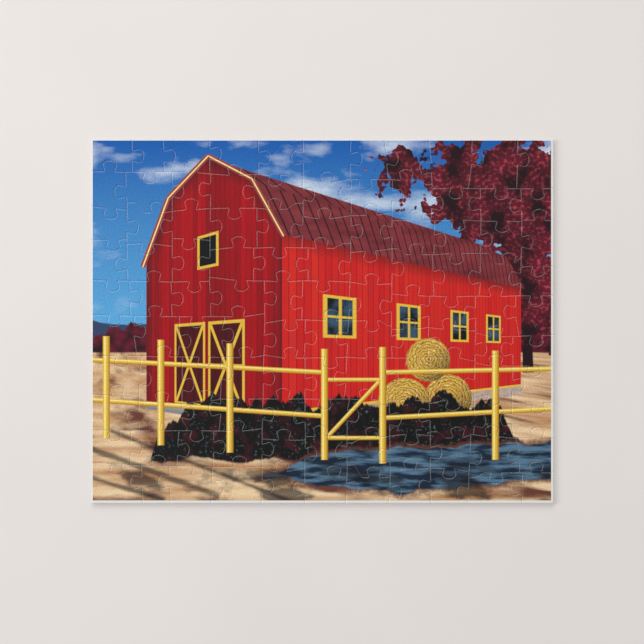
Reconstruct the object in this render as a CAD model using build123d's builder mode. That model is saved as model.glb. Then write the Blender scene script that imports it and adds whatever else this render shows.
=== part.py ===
from build123d import *
import os

os.makedirs("parts", exist_ok=True)

# Driving sizes of the puzzle, in millimetres
board_width = 254
board_depth = 200
board_thickness = 1.9
kerf = 0.12

# The cutting die is written for a board of this width and depth, and stretched to the real board.
# Knobs and steps keep their form, so they follow the smaller stretch.
drawn_board = (254, 200)
stretch_across = board_width / drawn_board[0]
stretch_down = board_depth / drawn_board[1]
knob_scale = min(stretch_across, stretch_down)

# The knob that locks two pieces, as the die has it: a neck that widens to the head, and a domed crown
neck_width = 5.3
head_width = 7.7
crown_rise = 1.9
tall_across = 6.0
tall_upright = 6.4

# Where a cut changes level by more than least_step, it steps over within step_run
least_step = 2.2
step_run = 4.5

# The cutting die, measured from the picture's top left corner.
# Each cut across the board has eleven knobs and crosses ten uprights:
# side is u for a knob that goes up and d for one that goes down,
# knob is its distance from the left edge and level its root's distance from the top edge,
# leave is the level at the left edge and where the cut leaves each upright,
# arrive is the level where it reaches each upright and at the right edge,
# above and below are where the uprights above and below it meet the cut.
cuts_across = (
    dict(
        side="uduudududdd",
        knob=(9.8, 31.8, 55, 78.2, 100.6, 129.4, 150.2, 172.8, 200, 225, 245),
        level=(17.4, 17.7, 17.8, 19.3, 19.3, 23.5, 21.6, 22.1, 26.3, 26.6, 26.7),
        leave=(17.3, 17.6, 17.7, 18.5, 18.8, 21.3, 21.6, 21.7, 26.8, 26.6, 26.7),
        arrive=(17.6, 17.7, 18.5, 18.8, 25.4, 21.6, 21.7, 24.4, 26.6, 26.7, 26.7),
        above=(22.2, 39.8, 64.7, 91.6, 116, 141.7, 163, 187, 206.9, 233.5),
        below=(18.3, 44, 65.1, 89.4, 116, 142.4, 165.2, 187, 213.4, 235.8),
    ),
    dict(
        side="duuduuuuddu",
        knob=(10.2, 35.7, 54.5, 78.2, 100.4, 127.7, 153.6, 178.8, 201.3, 225.5, 246),
        level=(37.5, 40, 38.2, 37.4, 38, 43.3, 41.3, 44.3, 43.9, 44.7, 44),
        leave=(36.5, 34.4, 39.2, 37.6, 37.4, 41.8, 41.5, 44.1, 44.3, 44.4, 43.8),
        arrive=(38.7, 39.2, 37.6, 37.4, 34.7, 41.5, 40, 44.3, 44.4, 44.7, 44.3),
        above=(19.2, 44, 65, 89, 116, 142.4, 164.9, 186.3, 213.9, 236.4),
        below=(19.2, 44, 65, 90.6, 116, 142.4, 164.9, 188.4, 213.9, 236.4),
    ),
    dict(
        side="dddudududud",
        knob=(11.7, 30.3, 53, 80.5, 103.1, 126, 153, 178.3, 200.3, 229.3, 245.1),
        level=(55, 57, 54.2, 59, 58.9, 59.5, 61, 62.9, 62.2, 68, 69.2),
        leave=(54.9, 57.2, 54, 60.4, 59.3, 59.2, 61.8, 59.7, 63, 62.2, 69.9),
        arrive=(54.7, 58.3, 55.2, 59.3, 59.2, 56.8, 59.7, 63, 62.2, 64.6, 69.9),
        above=(19.1, 44, 64.8, 90.7, 115.3, 142.2, 164.9, 187.8, 213.4, 235.9),
        below=(19.1, 44, 64.8, 88.8, 118.7, 142.2, 164.9, 187, 213.4, 235.9),
    ),
    dict(
        side="dudduduudud",
        knob=(11.3, 34, 56.2, 82.2, 104.8, 127, 153.8, 176.4, 197.5, 222, 243.9),
        level=(77.4, 77.8, 77.7, 77.1, 77.8, 77.4, 79.4, 85.5, 85.9, 86, 85.6),
        leave=(77.2, 77.5, 78, 75.3, 77.4, 77.3, 78, 84.5, 85.8, 85.8, 85.6),
        arrive=(77.5, 78, 77.7, 77.4, 77.3, 78, 79, 85.8, 85.8, 85.6, 85.5),
        above=(19.5, 44.1, 64.6, 88.7, 118.7, 141.8, 164.8, 188, 212.8, 235.3),
        below=(20.5, 43.3, 64.6, 94.7, 115.8, 141.8, 164.8, 185.5, 210.8, 233),
    ),
    dict(
        side="dudududuuud",
        knob=(12.3, 34.8, 57.6, 80.3, 109.2, 131.6, 154, 174.4, 196, 222, 244.3),
        level=(96.5, 97, 97.1, 97.2, 98.8, 99.3, 99.3, 104, 104, 108, 107.5),
        leave=(96.4, 96.7, 97, 97, 100.6, 98.8, 99.3, 104, 103, 106, 107.9),
        arrive=(96.7, 97, 97, 95.3, 98.8, 99.3, 102, 103, 105, 107.9, 107.2),
        above=(21.3, 44, 65.2, 94.9, 115.2, 141, 164.5, 185, 211, 234.8),
        below=(23.4, 48, 73.2, 94.9, 117.2, 141, 164.5, 185, 211, 231.3),
    ),
    dict(
        side="duduududuud",
        knob=(16.4, 39.5, 61.7, 84.4, 109.2, 131.2, 154, 176, 199.2, 222, 243.2),
        level=(118.9, 119.1, 119.3, 119.6, 119.9, 119.6, 119.9, 119.8, 119.8, 124.2, 124.2),
        leave=(118.9, 118.9, 119.2, 119.5, 118.1, 119.8, 119.4, 119.8, 119.7, 122.3, 124.2),
        arrive=(118.9, 119.2, 119.5, 118.5, 119.8, 119.4, 119.8, 119.7, 121.5, 124.2, 124),
        above=(24.6, 47, 74, 94.4, 116.5, 140, 165, 184.7, 210.5, 231.4),
        below=(27.5, 49.7, 71.3, 94.4, 117, 140, 161, 185.8, 210.5, 231.4),
    ),
    dict(
        side="uuududuuddd",
        knob=(14, 38.3, 62.5, 83.2, 105, 127.8, 150.6, 175, 198.3, 220.8, 245.6),
        level=(140.8, 144.3, 143.5, 142.4, 142.4, 142.4, 142.8, 143.2, 142.8, 140.2, 144.6),
        leave=(139.9, 144.4, 145.4, 142.4, 142.2, 142.3, 142.4, 143.3, 145, 142, 144.5),
        arrive=(142.5, 145.4, 142.4, 142.2, 142.3, 142.4, 146.2, 143.5, 144.6, 142, 144.8),
        above=(25.8, 49.3, 70.5, 94, 117, 138.5, 163.4, 185.4, 210.3, 231),
        below=(25.8, 49.3, 70.5, 94, 117, 141.6, 163.4, 185.4, 210.3, 231),
    ),
    dict(
        side="duduuuuduuu",
        knob=(12.3, 34.7, 57.5, 79.8, 105.4, 125.5, 154, 175.6, 201, 220, 245.3),
        level=(159.8, 159.9, 159.8, 160.1, 165, 163, 163.9, 161.7, 163.8, 163, 164),
        leave=(159.7, 159.8, 159.8, 160, 164.3, 163, 166.6, 162.8, 160.4, 162, 164),
        arrive=(159.8, 159.8, 160, 158.7, 165, 162.3, 163, 162.7, 162, 164, 164.4),
        above=(25.8, 52.2, 69.8, 93.5, 117.3, 140.2, 163.7, 186, 209.8, 231.8),
        below=(21.5, 47.7, 66.8, 93.5, 117.3, 140.2, 163.7, 186, 208.3, 233),
    ),
    dict(
        side="duduuuuuddu",
        knob=(13.8, 36.4, 58.8, 81, 104.5, 133, 155, 175, 196.4, 222.1, 244.3),
        level=(178.2, 179.3, 179.8, 179.8, 182.3, 185.2, 185.7, 181.3, 180.4, 183, 183.1),
        leave=(177.5, 179, 179.5, 180, 180, 183.1, 178.6, 181.3, 180.4, 185.6, 183),
        arrive=(179, 179.5, 180, 180, 180.2, 185.3, 185.5, 180.4, 182.5, 183, 183),
        above=(21, 46.6, 66.7, 93.4, 116.9, 140.2, 163.9, 185.9, 207.2, 235.2),
        below=(27, 42.4, 66.2, 93.4, 116.9, 140.2, 163.9, 185.9, 207.2, 236.7),
    ),
)

# The uprights of each row, from the top row down: side is l or r for the way the knob goes,
# knob is its distance from the top edge and level its root's distance from the left edge
uprights = (
    dict(
        side="rrrrlrrlrr",
        knob=(8.8, 9, 7.5, 9.5, 9.8, 10.3, 10.2, 15.2, 10.3, 10.8),
        level=(22, 39.4, 64.6, 91.5, 116.1, 142, 161.9, 186.5, 208.8, 233.9),
    ),
    dict(
        side="lrllrlrrll",
        knob=(28.6, 28.2, 27, 28.5, 30, 29.8, 30.8, 34.9, 35, 36),
        level=(18.7, 44, 65.1, 89.2, 116, 142.4, 165, 186.7, 213.6, 236.1),
    ),
    dict(
        side="rlrrlrlrrr",
        knob=(48, 47.3, 47.6, 47.3, 49.7, 50, 50.5, 54.8, 54.8, 56),
        level=(19.1, 44, 64.9, 90.6, 115.7, 142.3, 164.9, 188.1, 213.6, 236.1),
    ),
    dict(
        side="lrlrllrrll",
        knob=(68.5, 67.6, 67.8, 67.6, 68.4, 70, 70.7, 75, 75.5, 76),
        level=(19.3, 44, 64.7, 88.7, 118.7, 142, 164.9, 187.5, 213.5, 235.6),
    ),
    dict(
        side="rrrrlrllll",
        knob=(86.3, 87.3, 86.8, 87, 89.3, 90.3, 91.7, 94, 95, 94.5),
        level=(20.9, 43.6, 64.9, 94.8, 115.5, 141.4, 164.6, 185.2, 210.9, 232.8),
    ),
    dict(
        side="rrrrrlrrrl",
        knob=(104.9, 110.5, 107.2, 110.1, 108.8, 109, 110.5, 112, 115, 114.9),
        level=(23, 47.9, 71.4, 94.7, 117, 140.5, 164.6, 184.9, 210.6, 231.3),
    ),
    dict(
        side="rrrrrlrrlr",
        knob=(131.5, 134.7, 128.5, 131, 134, 131, 131.5, 131.3, 134.5, 134.8),
        level=(26, 49.5, 71, 94, 117, 139.5, 162, 185.7, 210.4, 231.3),
    ),
    dict(
        side="lrlrlrrlrl",
        knob=(152.3, 150, 147.9, 150.8, 152.2, 151.4, 153.7, 151.3, 154.4, 153.5),
        level=(25.8, 49.5, 70.8, 93.7, 117.1, 140.3, 163.6, 185.7, 210.2, 231),
    ),
    dict(
        side="rrrrrllrrl",
        knob=(169, 170.5, 168.8, 170, 172.3, 171.5, 173.8, 171.7, 174.7, 174.3),
        level=(21.3, 47, 66.8, 93.4, 117.1, 140.2, 163.8, 186, 207.7, 235),
    ),
    dict(
        side="llrrlrrlll",
        knob=(188.2, 188, 191.2, 190.3, 192, 191.5, 193.7, 190.7, 194.3, 191.8),
        level=(27.5, 42.8, 66, 93.4, 117, 139.9, 163.6, 186.2, 207.1, 236.6),
    ),
)

# Where the uprights start on the top edge and end on the bottom edge
tops = (22, 39, 64.5, 91.5, 116.2, 142.3, 160.8, 185.3, 209, 234.2)
feet = (28, 43.3, 65.7, 93.3, 117.2, 139.6, 163.3, 186.4, 207, 236.6)

columns = len(tops) + 1
rows = len(uprights)
knob_ways = dict(u=-1, d=1, l=-1, r=1)
half_kerf = kerf / 2


def edge_line(level, posts):
    # A long edge of the board, written as a cut with no knobs
    return dict(above=posts, below=posts, leave=[level] * columns, arrive=[level] * columns)


lines = [edge_line(0, tops), *cuts_across, edge_line(drawn_board[1], feet)]


def place_on(line, post, half):
    # Distance from the left edge at which an upright meets the upper or lower half of a line
    if post == 0:
        return 0
    if post == columns:
        return board_width
    return lines[line][half][post - 1] * stretch_across


def level_left_of(line, post):
    return lines[line]["arrive"][post - 1] * stretch_down


def level_right_of(line, post):
    return lines[line]["leave"][post] * stretch_down


def levels_at(line, post):
    # The levels at which a line meets an upright, the board's own side edges included
    levels = []
    if post > 0:
        levels.append(level_left_of(line, post))
    if post < columns:
        levels.append(level_right_of(line, post))
    return levels


def stretch_to_knob(begin, root):
    # A stretch of cut from where it begins to the root of its knob, stepping over where they lie
    # far apart in level
    points = [begin]
    ahead = root[0] - begin[0]
    run = step_run * knob_scale
    if abs(root[1] - begin[1]) > least_step * knob_scale and abs(ahead) > run:
        middle = (begin[0] + root[0]) / 2
        half_step = run / 2 if ahead > 0 else -run / 2
        points.append((middle - half_step, begin[1]))
        points.append((middle + half_step, root[1]))
    points.append(root)
    return points


def draw_side(spot, begin, end, run, knob, tall, way, into):
    # One side of a piece along a cut, as (along, level) points that spot puts on the board.
    # begin and end are the piece's corners, run the two ends of the cut itself,
    # knob is the middle of the knob's root, way is where it points, into is where the piece lies.
    # Every point of the cut moves half the kerf into the piece.
    shift = into * half_kerf
    spread = half_kerf * way * into
    neck = neck_width * knob_scale / 2 + spread
    head = head_width * knob_scale / 2 + spread
    middle, root = knob
    shoulder = root + way * (tall - crown_rise) * knob_scale + shift
    crown = root + way * tall * knob_scale + shift
    halves = []
    for corner, run_end, turn in ((begin, run[0], -1), (end, run[1], 1)):
        points = stretch_to_knob(run_end, (middle + turn * neck, root))
        points = [(along, level + shift) for along, level in points]
        if abs(run_end[0] - corner[0]) > kerf:
            points.insert(0, corner)
        points[0] = corner
        points.append((middle + turn * head, shoulder))
        halves.append([spot(along, level) for along, level in points])
    Polyline(*halves[0])
    ThreePointArc(halves[0][-1], spot(middle, crown), halves[1][-1])
    Polyline(*halves[1])


def on_board(along, level):
    return along - board_width / 2, board_depth / 2 - level


def on_board_upright(along, level):
    return on_board(level, along)


def draw_across(line, column, begin, end, into):
    # The side of a piece on a cut that runs across
    if line in (0, rows):
        Line(on_board(*begin), on_board(*end))
        return
    cut = lines[line]
    run_begin = max(place_on(line, column, half) for half in ("above", "below"))
    run_end = min(place_on(line, column + 1, half) for half in ("above", "below"))
    run = ((run_begin, level_right_of(line, column)), (run_end, level_left_of(line, column + 1)))
    knob = (cut["knob"][column] * stretch_across, cut["level"][column] * stretch_down)
    draw_side(on_board, begin, end, run, knob, tall_across, knob_ways[cut["side"][column]], into)


def draw_upright(row, post, begin, end, into):
    # The side of a piece on an upright
    if post in (0, columns):
        Line(on_board_upright(*begin), on_board_upright(*end))
        return
    upright = uprights[row]
    run = (
        (max(levels_at(row, post)), place_on(row, post, "below")),
        (min(levels_at(row + 1, post)), place_on(row + 1, post, "above")),
    )
    knob = (upright["knob"][post - 1] * stretch_down, upright["level"][post - 1] * stretch_across)
    way = knob_ways[upright["side"][post - 1]]
    draw_side(on_board_upright, begin, end, run, knob, tall_upright, way, into)


def draw_piece(row, column):
    # The outline of one piece, its corners half the kerf inside the cuts that they lie on
    left_gap = half_kerf if column > 0 else 0
    right_gap = half_kerf if column < columns - 1 else 0
    top_gap = half_kerf if row > 0 else 0
    bottom_gap = half_kerf if row < rows - 1 else 0
    top_left = (place_on(row, column, "below") + left_gap, level_right_of(row, column) + top_gap)
    top_right = (place_on(row, column + 1, "below") - right_gap, level_left_of(row, column + 1) + top_gap)
    low_left = (place_on(row + 1, column, "above") + left_gap, level_right_of(row + 1, column) - bottom_gap)
    low_right = (
        place_on(row + 1, column + 1, "above") - right_gap,
        level_left_of(row + 1, column + 1) - bottom_gap,
    )
    draw_across(row, column, top_left, top_right, 1)
    draw_across(row + 1, column, low_left, low_right, -1)
    draw_upright(row, column, top_left[::-1], low_left[::-1], 1)
    draw_upright(row, column + 1, top_right[::-1], low_right[::-1], -1)


# Corner pieces stand alone, edge pieces go by their side and inner pieces by their row
groups = dict(
    corner_top_left=[(0, 0)],
    corner_top_right=[(0, columns - 1)],
    corner_bottom_left=[(rows - 1, 0)],
    corner_bottom_right=[(rows - 1, columns - 1)],
    edge_top=[(0, column) for column in range(1, columns - 1)],
    edge_bottom=[(rows - 1, column) for column in range(1, columns - 1)],
    edge_left=[(row, 0) for row in range(1, rows - 1)],
    edge_right=[(row, columns - 1) for row in range(1, rows - 1)],
)
for row in range(1, rows - 1):
    groups[f"inner_row_{row + 1}"] = [(row, column) for column in range(1, columns - 1)]

for name, places in groups.items():
    with BuildPart() as pieces:
        with BuildSketch():
            for row, column in places:
                with BuildLine():
                    draw_piece(row, column)
                make_face()
        extrude(amount=board_thickness)
    pieces.part.label = name
    export_step(pieces.part, f"parts/{name}.step")
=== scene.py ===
import bpy
import numpy as np
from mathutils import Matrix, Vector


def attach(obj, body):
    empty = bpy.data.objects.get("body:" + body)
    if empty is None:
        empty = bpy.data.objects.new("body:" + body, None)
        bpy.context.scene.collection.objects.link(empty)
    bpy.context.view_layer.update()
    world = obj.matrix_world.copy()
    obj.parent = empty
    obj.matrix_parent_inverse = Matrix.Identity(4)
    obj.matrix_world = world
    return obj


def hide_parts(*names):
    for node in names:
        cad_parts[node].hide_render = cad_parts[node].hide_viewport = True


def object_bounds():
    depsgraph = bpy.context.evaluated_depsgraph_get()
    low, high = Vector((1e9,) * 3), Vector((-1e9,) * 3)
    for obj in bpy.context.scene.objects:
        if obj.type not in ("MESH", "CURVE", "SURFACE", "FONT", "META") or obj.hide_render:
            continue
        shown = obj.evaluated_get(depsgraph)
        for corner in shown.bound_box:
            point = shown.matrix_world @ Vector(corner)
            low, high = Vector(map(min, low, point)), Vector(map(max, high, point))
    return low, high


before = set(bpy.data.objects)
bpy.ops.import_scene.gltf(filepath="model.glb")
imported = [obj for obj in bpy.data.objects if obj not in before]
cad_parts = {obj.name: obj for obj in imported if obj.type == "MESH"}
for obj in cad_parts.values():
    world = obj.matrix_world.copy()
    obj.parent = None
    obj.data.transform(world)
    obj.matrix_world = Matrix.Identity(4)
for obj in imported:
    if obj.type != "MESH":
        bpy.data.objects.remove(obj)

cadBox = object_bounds()
millimetre = 0.001
micrometre = 1e-6

# What a user would change on the cut pieces, in millimetres
cutPieces = {
    "pointsAround": 400,  # points along each outline
    "cornerBlur": 0.22,  # how far the die rounds a corner at the cut
    "smoothing": 0.2,  # how fast corners soften further in
    # from the back's edge to the top face: how far in from the cut, and how high
    "profile": (
        (0.2, 0.0), (-0.045, 0.16), (-0.045, 1.62), (0.04, 1.672), (0.14, 1.733), (0.24, 1.791),
        (0.35, 1.85), (0.46, 1.9),
    ),
    "backBands": 1,  # how many bands of the profile belong to the back
    "sideBands": 1,  # and how many to the cut side
}
printSlot, sideSlot, backSlot = range(3)


def chainOutlines(node):
    # The top face's open edges lead from point to point. By doubling the jumps, each point
    # learns its loop's first point and how many steps it is away, and sorting puts them in order.
    mesh = node.data
    corners = np.empty(len(mesh.vertices) * 3)
    mesh.vertices.foreach_get("co", corners)
    ends = np.empty(len(mesh.loops), dtype=np.int64)
    mesh.loops.foreach_get("vertex_index", ends)
    micrometres = np.round(corners.reshape(-1, 3) / micrometre).astype(np.int64)
    merged, places = np.unique(micrometres, axis=0, return_inverse=True)
    triangles = places.reshape(-1)[ends].reshape(-1, 3)
    topDepth = 5  # micrometres that a corner of the top face may lie below it
    lowest = merged[:, 2].max() - topDepth
    triangles = triangles[(merged[triangles, 2] > lowest).all(axis=1)]
    begin = triangles.reshape(-1)
    end = np.roll(triangles, -1, axis=1).reshape(-1)
    count = len(merged)
    free = ~np.isin(begin * count + end, end * count + begin)
    onEdge, begin = np.unique(begin[free], return_inverse=True)
    following = np.empty(len(onEdge), dtype=np.int64)
    following[begin] = np.searchsorted(onEdge, end[free])
    first = np.arange(len(onEdge))
    jump = following
    doublings = int(np.ceil(np.log2(len(onEdge)))) + 1
    for _ in range(doublings):
        first = np.minimum(first, first[jump])
        jump = jump[jump]
    isFirst = first == np.arange(len(onEdge))
    steps = np.where(isFirst, 0, 1)
    jump = np.where(isFirst, first, following)
    for _ in range(doublings):
        steps = steps + steps[jump]
        jump = jump[jump]
    order = np.lexsort((np.where(isFirst, -len(onEdge), -steps), first))
    points = merged[onEdge[order], :2] * micrometre
    starts = np.flatnonzero(isFirst[order])
    return np.split(points, starts[1:])


def evenLine(line, count):
    # The same closed line with count points at even steps along its length
    closed = np.append(line, line[0])
    along = np.insert(np.cumsum(np.abs(np.diff(closed))), 0, 0)
    spots = np.arange(count) * along[-1] / count
    return np.interp(spots, along, closed.real) + 1j * np.interp(spots, along, closed.imag)


def moveInward(line, step, blur):
    # The line z(s) blurred along its length by a bell curve, each point then moved
    # by step along its normal, into the piece
    length = np.abs(np.diff(line, append=line[0])).sum()
    waves = np.fft.fft(line)
    pitch = np.fft.fftfreq(len(line), d=length / len(line))
    waves = waves * np.exp(-2 * (np.pi * blur * pitch) ** 2)
    slope = np.fft.ifft(waves * 1j * pitch)
    return np.fft.ifft(waves) + 1j * slope / np.abs(slope) * step


def insetRings(points, insets):
    # One ring for each inset, from the outermost. The first two come straight from the outline,
    # and each later one from the ring before, in two steps that are made even and blurred
    # by the root of step times (smoothing plus inset), so that no ring folds over in a corner.
    line = evenLine((points[:, 0] + 1j * points[:, 1]) / millimetre, cutPieces["pointsAround"])
    rings = {inset: moveInward(line, inset, cutPieces["cornerBlur"]) for inset in insets[:2]}
    line = rings[insets[1]]
    for outer, inner in zip(insets[1:], insets[2:]):
        step = (inner - outer) / 2
        for inset in (outer, outer + step):
            blur = np.sqrt(step * (cutPieces["smoothing"] + inset + step / 2))
            line = moveInward(evenLine(line, len(line)), step, blur)
        rings[inner] = line
    return rings


def buildPieces(name, node, materials):
    # Each outline carries the profile round it: one ring of points for each step of the profile,
    # bands of four-sided faces between the rings, and one face to close the back and the top
    count = cutPieces["pointsAround"]
    profile = cutPieces["profile"]
    lastBand = len(profile) - 1
    bandSlots = [backSlot] * cutPieces["backBands"] + [sideSlot] * cutPieces["sideBands"]
    bandSlots += [printSlot] * (lastBand - len(bandSlots))
    vertices = []
    faces = []
    slots = []
    ring = np.arange(count)
    band = np.stack((ring, np.roll(ring, -1), np.roll(ring, -1) + count, ring + count), axis=1)
    insets = sorted({inset for inset, height in profile})
    for points in chainOutlines(node):
        rings = insetRings(points, insets)
        base = sum(len(block) for block in vertices)
        for inset, height in profile:
            edge = rings[inset]
            block = np.stack((edge.real, edge.imag, np.full(count, height)), axis=1)
            vertices.append(block * millimetre)
        for step, slot in enumerate(bandSlots):
            faces.extend((band + base + step * count).tolist())
            slots.extend([slot] * count)
        faces.append((ring[::-1] + base).tolist())
        slots.append(backSlot)
        faces.append((ring + base + lastBand * count).tolist())
        slots.append(printSlot)
    mesh = bpy.data.meshes.new(name)
    mesh.from_pydata(np.concatenate(vertices).tolist(), [], faces)
    for material in materials:
        mesh.materials.append(material)
    mesh.polygons.foreach_set("material_index", slots)
    # the bands are smooth and the closing faces flat
    cornerCounts = np.array([len(face) for face in faces])
    mesh.polygons.foreach_set("use_smooth", cornerCounts == band.shape[1])
    mesh.update()
    piece = bpy.data.objects.new(name, mesh)
    bpy.context.scene.collection.objects.link(piece)
    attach(piece, "root")
    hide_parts(node.name)


screenWhite = 255
screenGamma = 2.2


def fromScreen(red, green, blue):
    # A colour as a screen shows it, made linear
    return tuple((value / screenWhite) ** screenGamma for value in (red, green, blue))


class Field:
    # A number that changes over the surface. Sums and products of fields become math nodes.
    def __init__(self, tree, socket):
        self.tree = tree
        self.socket = socket

    def maths(self, operation, *others):
        node = self.tree.nodes.new("ShaderNodeMath")
        node.operation = operation
        for place, value in enumerate((self, *others)):
            if isinstance(value, Field):
                self.tree.links.new(value.socket, node.inputs[place])
            else:
                node.inputs[place].default_value = value
        return Field(self.tree, node.outputs[0])

    def __add__(self, other):
        return self.maths("ADD", other)

    def __sub__(self, other):
        return self.maths("SUBTRACT", other)

    def __mul__(self, other):
        return self.maths("MULTIPLY", other)

    def __truediv__(self, other):
        return self.maths("DIVIDE", other)

    def least(self, other):
        return self.maths("MINIMUM", other)

    def most(self, other):
        return self.maths("MAXIMUM", other)

    def size(self):
        return self.maths("ABSOLUTE")

    def rest(self):
        return self.maths("FRACT")

    def whole(self):
        return self.maths("FLOOR")

    def ramp(self, low, high, begin=0.0, end=1.0):
        # begin up to low, end from high on, and a straight line between
        node = self.tree.nodes.new("ShaderNodeMapRange")
        self.tree.links.new(self.socket, node.inputs["Value"])
        for name, value in zip(("From Min", "From Max", "To Min", "To Max"), (low, high, begin, end)):
            node.inputs[name].default_value = value
        return Field(self.tree, node.outputs["Result"])


def addNode(tree, kind, inputs, **settings):
    # A node with its settings and inputs: a number, a colour, a socket or a field
    node = tree.nodes.new("ShaderNode" + kind)
    for name, value in settings.items():
        setattr(node, name, value)
    for name, value in inputs.items():
        if isinstance(value, Field):
            value = value.socket
        if isinstance(value, bpy.types.NodeSocket):
            tree.links.new(value, node.inputs[name])
        else:
            node.inputs[name].default_value = value
    return node


def blend(tree, share, first, second):
    # Two colours mixed by a share from 0 to 1
    firstColour, secondColour = (
        (*value, 1) if isinstance(value, tuple) else value for value in (first, second)
    )
    inputs = {0: share, 6: firstColour, 7: secondColour}
    return addNode(tree, "Mix", inputs, data_type="RGBA").outputs[2]


def cloudy(tree, place, scale, detail):
    # Cloudy noise from 0 to 1, with scale blotches to a metre
    node = addNode(tree, "TexNoise", {"Vector": place, "Scale": scale, "Detail": detail})
    return Field(tree, node.outputs["Fac"])


# What a user would change on the whole printed picture: the places are millimetres
# from its top left corner, x to the right and y down
picture = {
    # the picture stops short of the left and top edges, leaving a thin strip of white paper there that is
    # also a painted highlight along the board's lit upper left edge
    "printLeft": 0.45,
    "printRight": 252.6,
    "printTop": 0.36,
    "printBottom": 198.35,
    "edge": 0.45,  # how soft a painted edge is
    "printEdge": 0.2,  # and how soft the print's own edge
    "seedStep": (7.3, 4.1),  # how far one seed's noise lies from the next one's
    "skyline": 117,
    "barnRed": fromScreen(190, 12, 26),
    "barnSide": fromScreen(216, 46, 34),
    "barnShade": fromScreen(100, 4, 20),
    "roof": fromScreen(78, 20, 34),
    "roofLight": fromScreen(150, 62, 66),
    "trim": fromScreen(226, 186, 66),
    "trimLight": fromScreen(250, 228, 140),
    "trimShade": fromScreen(168, 118, 26),
    "skyTop": fromScreen(14, 88, 168),
    "skyLow": fromScreen(96, 174, 224),
    "cloud": fromScreen(222, 232, 240),
    "hill": fromScreen(52, 66, 98),
    "leafDark": fromScreen(36, 8, 20),
    "leaf": fromScreen(100, 22, 42),
    "leafLight": fromScreen(182, 70, 80),
    "stone": fromScreen(186, 188, 188),
    "glass": fromScreen(56, 82, 104),
    "glassDark": fromScreen(8, 14, 20),
    "field": fromScreen(180, 128, 86),
    "fieldLight": fromScreen(236, 206, 164),
    "soil": fromScreen(104, 60, 48),
    "hedge": fromScreen(4, 6, 8),
    "hedgeLight": fromScreen(84, 98, 100),
    "pond": fromScreen(22, 40, 60),
    "pondLight": fromScreen(86, 118, 142),
    "straw": fromScreen(214, 166, 66),
    "strawShade": fromScreen(112, 74, 26),
    "shadow": (0.004, 0.004, 0.008),
}


class Canvas:
    # A picture in millimetres: each coat of paint lies over the last one where its mask is 1
    def __init__(self, tree, place):
        self.tree = tree
        self.place = place
        split = addNode(tree, "SeparateXYZ", {0: place})
        self.x = Field(tree, split.outputs["X"])
        self.y = Field(tree, split.outputs["Y"])
        self.colour = None

    def vector(self, x, y):
        return addNode(self.tree, "CombineXYZ", {"X": x, "Y": y, "Z": 0.0}).outputs[0]

    def counted(self, size, stretch, place, seed):
        # The place counted in steps of size, stretch times as wide, and moved by the seed
        spread = (1 / (size * stretch), 1 / size, 0)
        right, down = picture["seedStep"]
        inputs = {0: place or self.place, 1: spread, 2: (seed * right, seed * down, 0)}
        return addNode(self.tree, "VectorMath", inputs, operation="MULTIPLY_ADD").outputs[0]

    def noise(self, size, detail=2.0, stretch=1.0, place=None, seed=0.0):
        # Cloudy noise with its blotches about size across and stretch times as wide
        inputs = {"Vector": self.counted(size, stretch, place, seed), "Scale": 1.0, "Detail": detail}
        node = addNode(self.tree, "TexNoise", inputs, noise_dimensions="2D")
        return Field(self.tree, node.outputs["Fac"])

    def cells(self, size, seed=0.0):
        # Distance to the middle of the nearest of many cells about size across
        inputs = {"Vector": self.counted(size, 1.0, None, seed), "Scale": 1.0}
        node = addNode(self.tree, "TexVoronoi", inputs, voronoi_dimensions="2D")
        return Field(self.tree, node.outputs["Distance"])

    def chance(self, step):
        # A number from 0 to 1 that differs from step to step
        node = addNode(self.tree, "TexWhiteNoise", {"W": step}, noise_dimensions="1D")
        return Field(self.tree, node.outputs["Value"])

    def along(self, direction, offset):
        # How far the place lies along a direction, plus an offset: the place's third number is 1
        inputs = {0: self.place, 1: (*direction, offset)}
        node = addNode(self.tree, "VectorMath", inputs, operation="DOT_PRODUCT")
        return Field(self.tree, node.outputs["Value"])

    def polygon(self, *points):
        # The distance inside a polygon that bulges everywhere: the least of those to its sides
        inside = None
        middle = np.mean(points, axis=0)
        for (x0, y0), (x1, y1) in zip(points, points[1:] + points[:1]):
            normal = np.array((y0 - y1, x1 - x0)) / np.hypot(x1 - x0, y1 - y0)
            offset = -normal @ np.array((x0, y0))
            if normal @ middle + offset < 0:
                normal, offset = -normal, -offset
            side = self.along(normal, offset)
            inside = inside.least(side) if inside else side
        return inside

    def bar(self, begin, end, width, farWidth=None):
        # A straight bar between two points: the distance inside it, and the distance across it
        # from its middle, positive on its left
        span = np.array(end) - np.array(begin)
        length = np.hypot(*span)
        ahead = span / length
        across = np.array((ahead[1], -ahead[0]))
        far = width if farWidth is None else farWidth
        middle = (np.array(begin) + np.array(end)) / 2
        side = self.along(across, -across @ middle)
        travel = self.along(ahead, -ahead @ middle)
        halfWidth = width / 2
        if far != width:
            halfWidth = travel * ((far - width) / length / 2) + (far + width) / 4
        inside = (side.size() * -1 + halfWidth).least(travel.size() * -1 + length / 2)
        return inside, side

    def disc(self, x, y, radius):
        # The distance inside a disc
        node = addNode(self.tree, "VectorMath", {0: self.place, 1: (x, y, 1)}, operation="DISTANCE")
        return Field(self.tree, node.outputs["Value"]) * -1 + radius

    def mask(self, inside, edge=None):
        edge = picture["edge"] if edge is None else edge
        return inside.ramp(-edge / 2, edge / 2)

    def mix(self, share, first, second):
        return blend(self.tree, share, first, second)

    def paint(self, share, colour):
        self.colour = self.mix(share, self.colour, colour)

    def shade(self, share, strength):
        # Darkens what is painted so far
        self.paint(share * strength, picture["shadow"])


# What a user would change on the sky and the land, in the picture's millimetres
land = {
    "cloud": 22,  # how large the clouds are
    "hills": (60, 26, 112),  # how wide one is, how high above the foot, and the foot
    "treeLine": (16, 30, 121),  # the same
    "eyeHeight": 22,  # how far above the skyline the ground's grain would shrink to nothing
    "reach": 200,
    "grainSpread": (60, 2.2),  # how fine the ground's grain is across and down
}


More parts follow.
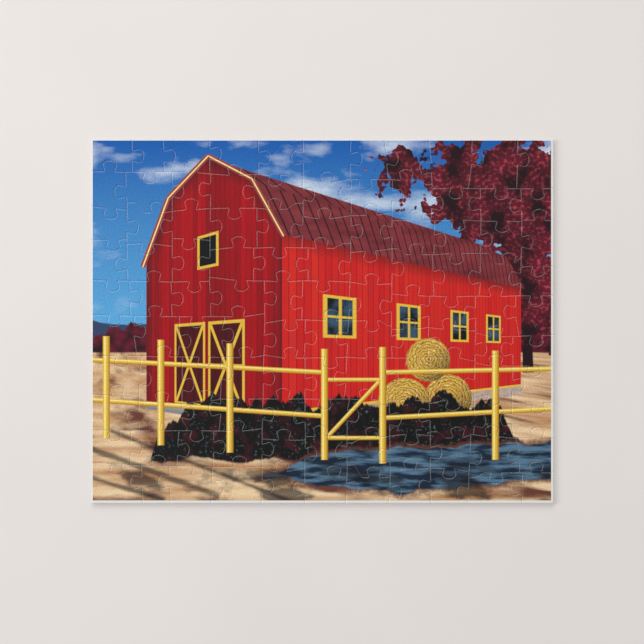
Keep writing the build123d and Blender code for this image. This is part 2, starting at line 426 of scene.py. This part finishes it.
def paintSky(canvas):
    height = canvas.y.ramp(0, picture["skyline"])
    canvas.colour = canvas.mix(height, picture["skyTop"], picture["skyLow"])
    drift = canvas.noise(land["cloud"], detail=6, stretch=2.2)
    canvas.paint(drift.ramp(0.5, 0.72) * canvas.y.ramp(0, 90, 0.85, 0.35), picture["cloud"])


def paintDistance(canvas):
    # Hills and a row of trees along the skyline, and the field in front of them
    line = canvas.vector(canvas.x, 0.0)
    width, rise, foot = land["hills"]
    hills = canvas.noise(width, detail=3, place=line) * -rise + foot
    canvas.paint(canvas.mask(canvas.y - hills, 0.8), picture["hill"])
    width, rise, foot = land["treeLine"]
    trees = canvas.noise(width, detail=5, place=line, seed=4.0) * -rise + foot
    leaves = canvas.mix(canvas.cells(5.5).ramp(0.1, 0.8), picture["leaf"], picture["leafDark"])
    canvas.paint(canvas.mask(canvas.y - trees, 1.0), leaves)
    reach = land["reach"]
    near = (canvas.y - (picture["skyline"] - land["eyeHeight"])).ramp(0, reach, 0.0, reach)
    across, down = land["grainSpread"]
    flat = canvas.vector(canvas.x / near * across, canvas.y * down)
    grain = canvas.noise(14, detail=6, stretch=2.5, place=flat)
    ground = canvas.mix(grain.ramp(0.3, 0.7), picture["field"], picture["fieldLight"])
    bare = canvas.noise(30, detail=4, place=flat, seed=9.0).ramp(0.52, 0.68)
    ground = canvas.mix(bare, ground, picture["soil"])
    canvas.paint(canvas.mask(canvas.y - picture["skyline"], 0.8), ground)


# What a user would change on the autumn trees at the right, in the picture's millimetres
autumnTrees = {
    # each limb's foot and tip, and its width at both
    "limbs": (
        ((240, 128), (238, 60), 6, 4), ((239, 84), (222, 48), 3, 1.6), ((238, 70), (250, 34), 3, 1.4),
    ),
    "crown": ((238, 36, 40), (206, 26, 27), (250, 84, 30), (172, 16, 16)),  # x, y and radius
    "ragged": (9, 22),  # how wide the crown's bays are, and how deep
    "clump": 3.2,  # how large a clump of leaves is
    "clumpDepth": 6,
}


def paintTree(canvas):
    # A trunk with branches, and leaves in clumps with sky between them
    for begin, end, width, farWidth in autumnTrees["limbs"]:
        canvas.paint(canvas.mask(canvas.bar(begin, end, width, farWidth)[0]), picture["leafDark"])
    bay, depth = autumnTrees["ragged"]
    ragged = canvas.noise(bay, detail=5, seed=2.0) * (2 * depth) - depth
    crown = None
    for x, y, radius in autumnTrees["crown"]:
        disc = canvas.disc(x, y, radius)
        crown = crown.most(disc) if crown else disc
    crown = crown + ragged
    clumps = canvas.cells(autumnTrees["clump"], seed=3.0)
    light = canvas.noise(12, detail=3, seed=6.0).ramp(0.35, 0.7)
    leaves = canvas.mix(light, picture["leafDark"], picture["leaf"])
    glints = canvas.noise(1.9, detail=5, stretch=1.2, seed=19.0).ramp(0.5, 0.72)
    leaves = canvas.mix(glints * light, leaves, picture["leafLight"])
    canvas.paint(canvas.mask(crown - clumps * autumnTrees["clumpDepth"], 1.0), leaves)


# What a user would change on the barn, in the picture's millimetres where nothing else is said
barn = {
    "corner": 104,  # x of the corner between the long side and the gable
    "farRight": 388,  # x at which the long side would shrink to nothing
    "farLeft": 160,  # how far left of the picture the gable would
    "wall": ((104, 48), (236, 80), (236, 140), (104, 160)),
    "gable": ((104.6, 160), (104.6, 48), (88, 22), (64, 10), (43, 33), (30, 67), (30, 148)),
    "slopes": (
        ((106, 52), (88, 22), (228, 64), (238, 82)),
        ((87.8, 22.8), (64, 10), (215, 58), (227.8, 64.8)),
    ),
    "gableEdge": ((105.5, 53), (88, 21.4), (64, 8.8), (42, 32), (28, 70)),
    "gableEdgeWidth": 2.8,
    "wallPlanks": 64,  # planks in one of u, over which things come to look half as large
    "gablePlanks": 76,
    "roofSeams": 44,
    "windows": (0.13, 0.33, 0.53, 0.7),  # u of each window's middle
    "windowScale": 160,  # one of u in millimetres, for the windows
    "windowHeight": 22,  # v of their middles
    "window": (6.6, 13),  # half width and half height, over the frame
    "windowPane": (5, 11.2),
    "windowBar": (0.6, 0.7),
    "doors": (0.13, 0.236),
    "doorScale": 260,
    "doorHeight": -8,
    "door": (12.6, 28),
    "doorPanel": (11, 26),
    "doorCross": 1.0,  # half the width of the crossed boards
    "doorRail": 0.9,
    "doorSlope": 0.42,
    "hayDoor": (0.18, 66),  # u and v of its middle
    "hayDoorFrame": (8, 11),
    "hayDoorPane": (6.2, 9.2),
    "footing": 34,  # how far under the skyline the stone begins on the long side
    "sill": (33.4, 0.9),  # its middle and half its height
    "gableFooting": 37,
    "eaves": (56, 70),  # v at which the shadow under the eaves begins, and is full
    "joint": (0.42, 0.08),  # how far from a plank's middle its joint begins, and how soft it is
}


def jointsOf(plank):
    # 1 in the dark joint between two planks, 0 on the planks
    begin, soft = barn["joint"]
    return ((plank.rest() - 0.5).size() - begin).ramp(0.0, soft)


def openingAt(u, v, middle, height, scale):
    # How far each place is from an opening's middle, along the wall and up it, made negative
    return (u - middle).size() * -scale, (v - height).size() * -1


def insideOf(opening, halfSize):
    # The distance inside a rectangle round the opening's middle
    return (opening[0] + halfSize[0]).least(opening[1] + halfSize[1])


def paintBarn(canvas):
    # The long side runs away to the right and the gable end to the left.
    # near is how large things look at each x, u runs along the wall in real steps and v up it.
    corner, vanish = barn["corner"], barn["farRight"]
    near = (canvas.x * -1 + vanish) / (vanish - corner)
    u = (canvas.x - corner) / (canvas.x * -1 + vanish)
    v = (canvas.y * -1 + picture["skyline"]) / near
    wall = canvas.polygon(*barn["wall"])
    plank = u * barn["wallPlanks"]
    streaks = canvas.noise(2.2, detail=5, place=canvas.vector(u * 220, v * 0.12), seed=1.0)
    tone = canvas.chance(plank.whole()) * 0.55 + streaks * 0.4
    boards = canvas.mix(tone, picture["barnSide"], picture["barnRed"])
    boards = canvas.mix(streaks.ramp(0.6, 0.85) * 0.5, boards, picture["roofLight"])
    boards = canvas.mix(jointsOf(plank) * 0.75, boards, picture["barnShade"])
    canvas.paint(canvas.mask(wall), boards)
    # stone footing with a bright sill above it
    footing = wall.least((v + barn["footing"]) * -1)
    stones = canvas.mix(canvas.noise(3, detail=4), picture["stone"], picture["field"])
    canvas.paint(canvas.mask(footing), stones)
    middle, halfHeight = barn["sill"]
    sill = wall.least((v + middle).size() * -1 + halfHeight)
    canvas.paint(canvas.mask(sill), picture["trim"])
    # windows in a row, each with a frame, four panes and a dim room behind
    dimness = canvas.noise(9, detail=3, seed=5.2).ramp(0.35, 0.65)
    room = canvas.mix(dimness, picture["glassDark"], picture["glass"])
    for middle in barn["windows"]:
        window = openingAt(u, v, middle, barn["windowHeight"], barn["windowScale"])
        canvas.paint(canvas.mask(insideOf(window, barn["window"])), picture["trim"])
        pane = insideOf(window, barn["windowPane"])
        canvas.paint(canvas.mask(pane), room)
        halfAlong, halfUp = barn["windowBar"]
        bars = (window[0] + halfAlong).most(window[1] + halfUp).least(pane)
        canvas.paint(canvas.mask(bars), picture["trim"])
    # shadow under the eaves
    canvas.shade(wall.ramp(0, 0.2) * v.ramp(*barn["eaves"]), 0.8)
    paintGable(canvas)
    paintRoof(canvas)


def paintGable(canvas):
    # The end wall, with double doors that have a cross on each leaf and a hay door in the loft
    corner, vanish = barn["corner"], barn["farLeft"]
    near = (canvas.x + vanish) / (vanish + corner)
    u = (canvas.x * -1 + corner) / (canvas.x + vanish)
    v = (canvas.y * -1 + picture["skyline"]) / near
    gable = canvas.polygon(*barn["gable"])
    plank = u * barn["gablePlanks"]
    streaks = canvas.noise(2.4, detail=5, place=canvas.vector(u * 260, v * 0.14), seed=5.0)
    otherPlanks = 300  # so that the gable's planks draw other tones than the wall's
    tone = canvas.chance(plank.whole() + otherPlanks) * 0.5 + streaks * 0.4
    boards = canvas.mix(tone, picture["barnRed"], picture["barnShade"])
    boards = canvas.mix(jointsOf(plank) * 0.6, boards, picture["leafDark"])
    canvas.paint(canvas.mask(gable), boards)
    footing = gable.least((v + barn["gableFooting"]) * -1)
    canvas.paint(canvas.mask(footing), picture["stone"])
    scale, height = barn["doorScale"], barn["doorHeight"]
    for middle in barn["doors"]:
        door = openingAt(u, v, middle, height, scale)
        canvas.paint(canvas.mask(insideOf(door, barn["door"])), picture["trim"])
        panel = insideOf(door, barn["doorPanel"])
        panelBoards = canvas.mix(streaks, picture["barnShade"], picture["leafDark"])
        canvas.paint(canvas.mask(panel), panelBoards)
        across = (u - middle) * scale
        rise = (v - height) * barn["doorSlope"]
        falling = (across - rise).size() * -1 + barn["doorCross"]
        rising = (across + rise).size() * -1 + barn["doorCross"]
        cross = falling.most(rising).most(door[1] + barn["doorRail"])
        canvas.paint(canvas.mask(cross.least(panel)), picture["trim"])
    hayDoor = openingAt(u, v, *barn["hayDoor"], scale)
    canvas.paint(canvas.mask(insideOf(hayDoor, barn["hayDoorFrame"])), picture["trim"])
    canvas.paint(canvas.mask(insideOf(hayDoor, barn["hayDoorPane"])), picture["glassDark"])
    canvas.shade(gable.ramp(0, 0.2) * gable.ramp(7, 1), 0.55)


def paintRoof(canvas):
    # Two slopes of sheet roof with raised seams, and a bright edge along the gable.
    # The seams lie at even steps of u, leaning a little more on the upper slope.
    corner, vanish = barn["corner"], barn["farRight"]
    rust = canvas.noise(6, detail=5, stretch=3.0)
    metal = canvas.mix(rust, picture["roof"], picture["roofLight"])
    for step, corners in enumerate(barn["slopes"]):
        slope = canvas.polygon(*corners)
        u = (canvas.x - corner) / (canvas.x * -1 + vanish)
        seam = (u * barn["roofSeams"] - canvas.y * 0.12 * (step + 0.6)).rest()
        sheets = canvas.mix((seam - 0.82).ramp(0, 0.1), metal, picture["leafDark"])
        canvas.paint(canvas.mask(slope), sheets)
    for begin, end in zip(barn["gableEdge"], barn["gableEdge"][1:]):
        inside, side = canvas.bar(begin, end, barn["gableEdgeWidth"])
        glint = (side.size() * -1 + 0.5).ramp(0, 0.3)
        canvas.paint(canvas.mask(inside), canvas.mix(glint, picture["roofLight"], picture["trimLight"]))


# What a user would change on the straw bales, in the picture's millimetres
bales = {
    "places": ((196, 142, 13), (172, 146, 15), (185, 121, 12)),  # x, y and radius
    "strands": 0.6,  # strands to a millimetre
    "loose": 2.2,  # how far the strands stray, in strands
}


def paintBales(canvas):
    # Round bales, each wound in a spiral and lit from the upper left
    loose = canvas.noise(2.6, detail=4, seed=2.3) * bales["loose"]
    for x, y, radius in bales["places"]:
        bale = canvas.disc(x, y, radius)
        strands = (bale * bales["strands"] + loose).rest()
        straw = canvas.mix(strands.ramp(0.0, 0.55), picture["strawShade"], picture["straw"])
        straw = canvas.mix(strands.ramp(0.75, 0.95) * 0.7, straw, picture["trimLight"])
        canvas.paint(canvas.mask(bale), straw)
        away = (canvas.x - x + canvas.y - y) / radius
        canvas.shade(canvas.mask(bale) * away.ramp(-0.2, 1.4), 0.7)


# What a user would change on the hedge, in the picture's millimetres
hedge = {
    "middle": 136,
    "ends": (84, 118, 52.0),  # how far from the middle it begins to sink, is lowest, and how deep
    "top": (11, 28, 157),  # how wide a bulge is, how high above the foot of the bulges, that foot
    "foot": (24, 12, 170),
}


def paintHedge(canvas):
    # A dark hedge that sinks at its ends, with glints on its leaves
    line = canvas.vector(canvas.x, 0.0)
    begin, end, sink = hedge["ends"]
    ends = (canvas.x - hedge["middle"]).size().ramp(begin, end, 0.0, sink)
    width, rise, low = hedge["top"]
    top = canvas.noise(width, detail=5, place=line, seed=7.0) * -rise + low + ends
    width, rise, low = hedge["foot"]
    foot = canvas.noise(width, detail=4, place=line, seed=12.0) * rise + low
    leaves = canvas.noise(1.7, detail=5, seed=5.0).ramp(0.58, 0.74)
    glint = leaves * canvas.noise(9, detail=2, seed=27.0).ramp(0.4, 0.62)
    colour = canvas.mix(glint, picture["hedge"], picture["hedgeLight"])
    blot = canvas.noise(8, detail=4, seed=3.0).ramp(0.5, 0.75)
    colour = canvas.mix(blot * 0.35, colour, picture["leaf"])
    canvas.paint(canvas.mask((canvas.y - top).least(canvas.y * -1 + foot), 1.2), colour)


# What a user would change on the foreground, in the picture's millimetres
foreground = {
    "pond": ((92, 186), (128, 172), (253, 166), (253, 186), (170, 194)),
    "bay": (20, 9),  # how wide the shore's bays are, and how deep
    "bank": (1.6, 2.6),  # how wide the wet bank is, and how soft its edge
    # each worn track's two ends and its width
    "tracks": (
        ((0, 170), (70, 196), 3.2), ((0, 186), (40, 198), 2.4), ((10, 160), (110, 199), 2.0),
    ),
}


def paintForeground(canvas):
    # A pond that gives back the sky, its bank, and tracks worn into the lane
    ripple = canvas.noise(3, detail=5, stretch=6.0, seed=8.0)
    water = canvas.mix(ripple.ramp(0.4, 0.62), picture["pond"], picture["pondLight"])
    width, depth = foreground["bay"]
    shore = (canvas.noise(width, detail=4, seed=14.0) - 0.5) * depth
    pond = canvas.polygon(*foreground["pond"]) + shore
    crumbs = canvas.noise(2.2, detail=4, seed=17.0) * 3 - 1.5
    width, edge = foreground["bank"]
    canvas.paint(canvas.mask(pond + crumbs + width, edge) * 0.85, picture["soil"])
    canvas.paint(canvas.mask(pond, 0.7), water)
    for begin, end, width in foreground["tracks"]:
        track = canvas.bar(begin, end, width)[0] + ripple * 1.6 - 0.8
        canvas.shade(canvas.mask(track, 1.6), 0.72)
    # the shadows of trees outside the picture
    dapple = canvas.noise(15, detail=5, stretch=2.2, seed=21.0)
    canvas.shade(dapple.ramp(0.5, 0.6) * canvas.y.ramp(168, 186), 0.78)


# What a user would change on the fence, in the picture's millimetres
fence = {
    # x, top and foot of each post
    "posts": (
        (8, 108, 164), (38, 110, 168), (76, 112, 172), (128, 115, 176), (160, 114, 178), (222, 116, 176),
    ),
    "rails": (
        ((0, 121), (128, 128)), ((0, 143), (128, 152)), ((160, 128), (253, 126)), ((160, 153), (253, 148)),
    ),
    "gate": (((128, 132), (160, 132)), ((128, 164), (160, 164)), ((130, 163), (158, 133))),
    "postWidth": 3.8,
    "railWidth": 2.6,
    "gateWidth": 2.2,
    "shade": (-0.45, -0.1),  # the shaded side, in widths from a rail's middle
    "glint": (0.2, 0.16),  # the bright line's middle and half its width, in the same measure
}


def paintRail(canvas, begin, end, width):
    # A round painted rail: dark below, bright along its upper side
    inside, side = canvas.bar(begin, end, width)
    body = canvas.mix((side / width).ramp(*fence["shade"]), picture["trimShade"], picture["trim"])
    middle, halfWidth = fence["glint"]
    glint = ((side / width - middle).size() * -1 + halfWidth).ramp(0, 0.08)
    canvas.paint(canvas.mask(inside), canvas.mix(glint, body, picture["trimLight"]))


def paintFence(canvas):
    # A rail fence from the left edge to the pond: a gate, two rails, and the posts before them
    for begin, end in fence["gate"]:
        paintRail(canvas, begin, end, fence["gateWidth"])
    for begin, end in fence["rails"]:
        paintRail(canvas, begin, end, fence["railWidth"])
    for x, top, foot in fence["posts"]:
        paintRail(canvas, (x, foot), (x, top), fence["postWidth"])


coats = (paintSky, paintDistance, paintTree, paintBarn, paintBales, paintHedge, paintForeground, paintFence)


def pictureGroup():
    # The picture as a node group: in goes the place in metres, out come its colour and the printed area
    group = bpy.data.node_groups.new("farmPicture", "ShaderNodeTree")
    group.interface.new_socket("Place", in_out="INPUT", socket_type="NodeSocketVector")
    group.interface.new_socket("Colour", in_out="OUTPUT", socket_type="NodeSocketColor")
    group.interface.new_socket("Printed", in_out="OUTPUT", socket_type="NodeSocketFloat")
    entry = group.nodes.new("NodeGroupInput")
    result = group.nodes.new("NodeGroupOutput")
    left, top = cadBox[0][0] / millimetre, cadBox[1][1] / millimetre
    place = addNode(group, "VectorMath", {
        0: entry.outputs["Place"],
        1: (1 / millimetre, -1 / millimetre, 0),
        2: (-left, top, 1),
    }, operation="MULTIPLY_ADD").outputs[0]
    canvas = Canvas(group, place)
    for paintCoat in coats:
        paintCoat(canvas)
    # the grain of the print
    canvas.shade(canvas.noise(0.9, detail=4, seed=31.0).ramp(0.42, 0.75), 0.2)
    wide = (canvas.x - picture["printLeft"]).least(canvas.x * -1 + picture["printRight"])
    deep = (canvas.y - picture["printTop"]).least(canvas.y * -1 + picture["printBottom"])
    printedArea = canvas.mask(wide.least(deep), picture["printEdge"])
    group.links.new(canvas.colour, result.inputs["Colour"])
    group.links.new(printedArea.socket, result.inputs["Printed"])
    print("picture painted:", len(group.nodes), "nodes")
    return group


# What a user would change on the board's finishes
finish = {
    "printRoughness": 0.4,
    "varnishRoughness": 0.48,
    "varnishIndex": 1.65,
    "paperEdgeAndHighlight": 0.2,  # how much white is painted along the cut edges: paper showing at the cut, and a painted highlight on the bevel
    "paperEdgeAndHighlightHeight": (1.73, 1.65),  # millimetres above the table where it begins and is full
    "paper": fromScreen(222, 221, 217),
    "board": fromScreen(158, 146, 132),
    "boardDark": fromScreen(104, 92, 82),
    "back": fromScreen(172, 168, 160),
    "backDark": fromScreen(134, 130, 124),
    "fleck": fromScreen(88, 76, 66),
    "paperThickness": 0.13,  # the two paper layers as the cut shows them, in millimetres
    "boardTop": 1.6,
    "sideRoughness": 0.92,
    "backRoughness": 0.85,
    # blotches of each noise to a metre
    "paperEdgeAndHighlightPatches": 260.0,
    "printGrain": 2600.0,
    "backClouds": 60.0,
    "flecks": 620.0,
    "sideFibres": (1500.0, 6.0),  # and how flat the fibres are pressed
    "backFibres": (900.0, 1.0),
    "fibreBends": 400.0,
    "bend": 0.0012,  # how far a fibre strays sideways, in metres
    # the bump's strength, and its depth in millimetres
    "printBump": (0.05, 0.2),
    "sideBump": (0.5, 0.25),
    "backBump": (0.3, 0.2),
}


def newMaterial(name):
    # The material, its nodes, its shader and the place on the piece in metres
    material = bpy.data.materials.new(name)
    material.use_nodes = True
    tree = material.node_tree
    place = tree.nodes.new("ShaderNodeTexCoord").outputs["Object"]
    return material, tree, tree.nodes["Principled BSDF"], place


def fibreGroup():
    # Pressed paper pulp: streaks of fibre flattened by Layers along z, and scattered flecks
    group = bpy.data.node_groups.new("pressedFibres", "ShaderNodeTree")
    group.interface.new_socket("Place", in_out="INPUT", socket_type="NodeSocketVector")
    for name in ("Scale", "Layers"):
        group.interface.new_socket(name, in_out="INPUT", socket_type="NodeSocketFloat")
    for name in ("Fibre", "Fleck"):
        group.interface.new_socket(name, in_out="OUTPUT", socket_type="NodeSocketFloat")
    entry = group.nodes.new("NodeGroupInput")
    result = group.nodes.new("NodeGroupOutput")
    flat = addNode(group, "CombineXYZ", {"X": 1.0, "Y": 1.0, "Z": entry.outputs["Layers"]}).outputs[0]
    inputs = {0: entry.outputs["Place"], 1: flat}
    place = addNode(group, "VectorMath", inputs, operation="MULTIPLY").outputs[0]
    inputs = {"Vector": place, "Scale": finish["fibreBends"], "Detail": 2.0}
    bent = addNode(group, "TexNoise", inputs).outputs["Color"]
    inputs = {0: bent, 1: (finish["bend"], finish["bend"], 0), 2: place}
    pushed = addNode(group, "VectorMath", inputs, operation="MULTIPLY_ADD").outputs[0]
    inputs = {"Vector": pushed, "Scale": entry.outputs["Scale"], "Detail": 5.0, "Roughness": 0.7}
    fibre = addNode(group, "TexNoise", inputs).outputs["Fac"]
    inputs = {"Vector": pushed, "Scale": finish["flecks"], "Randomness": 1.0}
    specks = Field(group, addNode(group, "TexVoronoi", inputs).outputs["Distance"])
    group.links.new(fibre, result.inputs["Fibre"])
    group.links.new(specks.ramp(0.16, 0.06).socket, result.inputs["Fleck"])
    return group


pressedFibres = fibreGroup()


def addFibres(tree, place, scale, layers):
    fibres = tree.nodes.new("ShaderNodeGroup")
    fibres.node_tree = pressedFibres
    tree.links.new(place, fibres.inputs["Place"])
    fibres.inputs["Scale"].default_value = scale
    fibres.inputs["Layers"].default_value = layers
    return Field(tree, fibres.outputs["Fibre"]), Field(tree, fibres.outputs["Fleck"])


def heightOf(tree, place):
    # Millimetres above the table
    return Field(tree, addNode(tree, "SeparateXYZ", {0: place}).outputs["Z"]) / millimetre


def roughen(tree, shader, height, strength, depth):
    # Bump from a height of 0 to 1, depth in millimetres
    inputs = {"Height": height, "Strength": strength, "Distance": depth * millimetre}
    bump = addNode(tree, "Bump", inputs)
    tree.links.new(bump.outputs[0], shader.inputs["Normal"])


def printedMaterial():
    # The varnished print. Along the cut it is painted whiter, more in some places than in others: white
    # paper showing through, and a painted highlight on the bevel.
    material, tree, shader, place = newMaterial("printedPaper")
    art = tree.nodes.new("ShaderNodeGroup")
    art.node_tree = pictureGroup()
    tree.links.new(place, art.inputs["Place"])
    colour = blend(tree, art.outputs["Printed"], finish["paper"], art.outputs["Colour"])
    patchyPaperAndHighlight = cloudy(tree, place, finish["paperEdgeAndHighlightPatches"], 3.0).ramp(0.3, 0.7, 0.4, 1.0)
    # painted highlight: the bevel's rim next to the cut is mixed toward white paper, standing for the
    # bright line the cut catches as well as the paper that shows there
    paperAndHighlightShare = heightOf(tree, place).ramp(*finish["paperEdgeAndHighlightHeight"]) * patchyPaperAndHighlight * finish["paperEdgeAndHighlight"]
    tree.links.new(blend(tree, paperAndHighlightShare, colour, finish["paper"]), shader.inputs["Base Color"])
    shader.inputs["Roughness"].default_value = finish["printRoughness"]
    shader.inputs["Specular IOR Level"].default_value = 0
    shader.inputs["Coat Weight"].default_value = 1
    shader.inputs["Coat Roughness"].default_value = finish["varnishRoughness"]
    shader.inputs["Coat IOR"].default_value = finish["varnishIndex"]
    roughen(tree, shader, cloudy(tree, place, finish["printGrain"], 3.0), *finish["printBump"])
    return material


def sideMaterial():
    # The cut through the board: layers of pulp between the print's paper and the back's
    material, tree, shader, place = newMaterial("boardSide")
    fibre, fleck = addFibres(tree, place, *finish["sideFibres"])
    colour = blend(tree, fibre.ramp(0.25, 0.75), finish["boardDark"], finish["board"])
    colour = blend(tree, fleck * 0.6, colour, finish["fleck"])
    height = heightOf(tree, place) + fibre * 0.08
    thickness = finish["paperThickness"]
    printBegin = finish["boardTop"] - thickness
    colour = blend(tree, height.ramp(printBegin, printBegin + 0.05), colour, finish["paper"])
    backLayer = height.ramp(thickness + 0.16, thickness + 0.1)
    tree.links.new(blend(tree, backLayer, colour, finish["back"]), shader.inputs["Base Color"])
    shader.inputs["Roughness"].default_value = finish["sideRoughness"]
    roughen(tree, shader, fibre, *finish["sideBump"])
    return material


def backMaterial():
    # The plain grey back: recycled paper with flecks and faint clouds
    material, tree, shader, place = newMaterial("boardBack")
    fibre, fleck = addFibres(tree, place, *finish["backFibres"])
    tone = fibre * 0.6 + cloudy(tree, place, finish["backClouds"], 4.0) * 0.4
    colour = blend(tree, tone, finish["backDark"], finish["back"])
    tree.links.new(blend(tree, fleck * 0.5, colour, finish["fleck"]), shader.inputs["Base Color"])
    shader.inputs["Roughness"].default_value = finish["backRoughness"]
    roughen(tree, shader, fibre, *finish["backBump"])
    return material


boardMaterials = (printedMaterial(), sideMaterial(), backMaterial())
for nodeName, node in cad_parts.items():
    buildPieces(f"cut_{nodeName}", node, boardMaterials)
print("pieces cut:", len(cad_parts))

# What a user would change on the stage: lengths in metres
stage = {
    "floorSide": 6.0,
    "floorHeight": -0.00002,  # just under the board's back
    "floorColour": (0.755, 0.716, 0.69),
    "floorCloud": 0.965,  # how bright the floor's darker clouds are, as a share of its colour
    "floorClouds": 7.0,  # clouds to a metre
    "floorTooth": 1400.0,  # and bumps of the paper's tooth
    "toothBump": (0.08, 0.2),  # the bump's strength, and its depth in millimetres
    "floorRoughness": 0.85,
    "cameraPlace": (-0.0004, -0.0002, 1.25),
    "viewWidth": 0.3547,
    "sensor": 36.0,  # millimetres
}


def floorMaterial():
    # Matt background paper with a faint cloudiness and a fine tooth
    material, tree, shader, place = newMaterial("backgroundPaper")
    cloud = cloudy(tree, place, stage["floorClouds"], 5.0).ramp(0.3, 0.7)
    darker = tuple(value * stage["floorCloud"] for value in stage["floorColour"])
    tree.links.new(blend(tree, cloud, darker, stage["floorColour"]), shader.inputs["Base Color"])
    shader.inputs["Roughness"].default_value = stage["floorRoughness"]
    roughen(tree, shader, cloudy(tree, place, stage["floorTooth"], 2.0), *stage["toothBump"])
    return material


def addFloor():
    half = stage["floorSide"] / 2
    corners = ((-half, -half), (half, -half), (half, half), (-half, half))
    mesh = bpy.data.meshes.new("floor")
    mesh.from_pydata([(x, y, stage["floorHeight"]) for x, y in corners], [], [(0, 1, 2, 3)])
    mesh.materials.append(floorMaterial())
    floor = bpy.data.objects.new("floor", mesh)
    bpy.context.scene.collection.objects.link(floor)


addFloor()

# What a user would change on the light: soft windows on the left and beyond the top edge,
# a soft light from straight above that leaves no glare on the varnish, and the light of the room
light = {
    "roomStrength": 0.1,
    "backdropStrength": 0.7,  # how the room looks behind the floor
    "windows": {"leftWindow": (-1.75, 0.2, 1.0), "farWindow": (-0.2, 1.75, 1.0)},
    "windowSize": (1.4, 1.0),
    "windowPower": 20.0,
    "aboveStrength": 1.6,
    "aboveSpread": 12.0,  # degrees
}
world = bpy.data.worlds.new("studio")
world.use_nodes = True
backdrop = world.node_tree.nodes["Background"]
seen = Field(world.node_tree, addNode(world.node_tree, "LightPath", {}).outputs["Is Camera Ray"])
room = seen.ramp(0, 1, light["roomStrength"], light["backdropStrength"])
world.node_tree.links.new(room.socket, backdrop.inputs["Strength"])
backdrop.inputs["Color"].default_value = (1, 1, 1, 1)
bpy.context.scene.world = world

for name, place in light["windows"].items():
    windowData = bpy.data.lights.new(name, "AREA")
    windowData.shape = "RECTANGLE"
    windowData.size, windowData.size_y = light["windowSize"]
    windowData.energy = light["windowPower"]
    window = bpy.data.objects.new(name, windowData)
    window.location = place
    window.rotation_mode = "QUATERNION"
    window.rotation_quaternion = (-window.location).to_track_quat("-Z", "Y")
    bpy.context.scene.collection.objects.link(window)

aboveData = bpy.data.lights.new("above", "SUN")
aboveData.energy = light["aboveStrength"]
aboveData.angle = np.radians(light["aboveSpread"])
above = bpy.data.objects.new("above", aboveData)
above.visible_glossy = False
bpy.context.scene.collection.objects.link(above)

cameraData = bpy.data.cameras.new("camera")
cameraData.sensor_width = stage["sensor"]
cameraData.lens = stage["sensor"] * stage["cameraPlace"][2] / stage["viewWidth"]
camera = bpy.data.objects.new("camera", cameraData)
camera.location = stage["cameraPlace"]
bpy.context.scene.collection.objects.link(camera)
bpy.context.scene.camera = camera
bpy.context.scene.view_settings.view_transform = "Standard"
print("stage lit")
